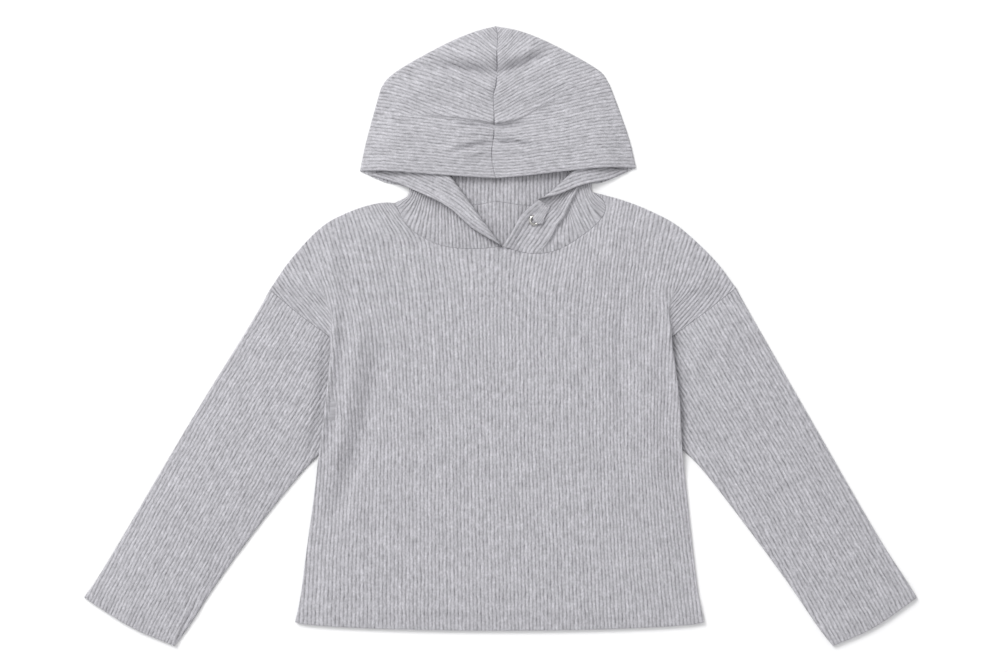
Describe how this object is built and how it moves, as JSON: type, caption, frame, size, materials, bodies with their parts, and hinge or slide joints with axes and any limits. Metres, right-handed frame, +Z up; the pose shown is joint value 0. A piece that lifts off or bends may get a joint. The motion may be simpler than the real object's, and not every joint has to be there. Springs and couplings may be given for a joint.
{
  "type": "hooded jumper",
  "caption": "Light grey rib-knit hooded jumper laid flat and face up, with long sleeves, dropped shoulders, turned hems and a spread hood.",
  "frame": {"origin": "middle of the jumper's outline, on the surface that it lies on", "axes": "+X across the body and along the outstretched sleeves, +Y from the hem to the hood, +Z up out of the front of the jumper"},
  "size_m": [0.9986, 0.7426, 0.0093],
  "materials": {
    "rib_knit": "light heather grey rib knit, soft and matt",
    "eyelet_metal": "polished silver-coloured metal"
  },
  "bodies": {
    "root": {"front_panel": "rib_knit", "back_panel": "rib_knit", "sleeve_left": "rib_knit", "sleeve_right": "rib_knit", "hood_left": "rib_knit", "hood_right": "rib_knit", "eyelet": "eyelet_metal"}
  },
  "joints": []
}
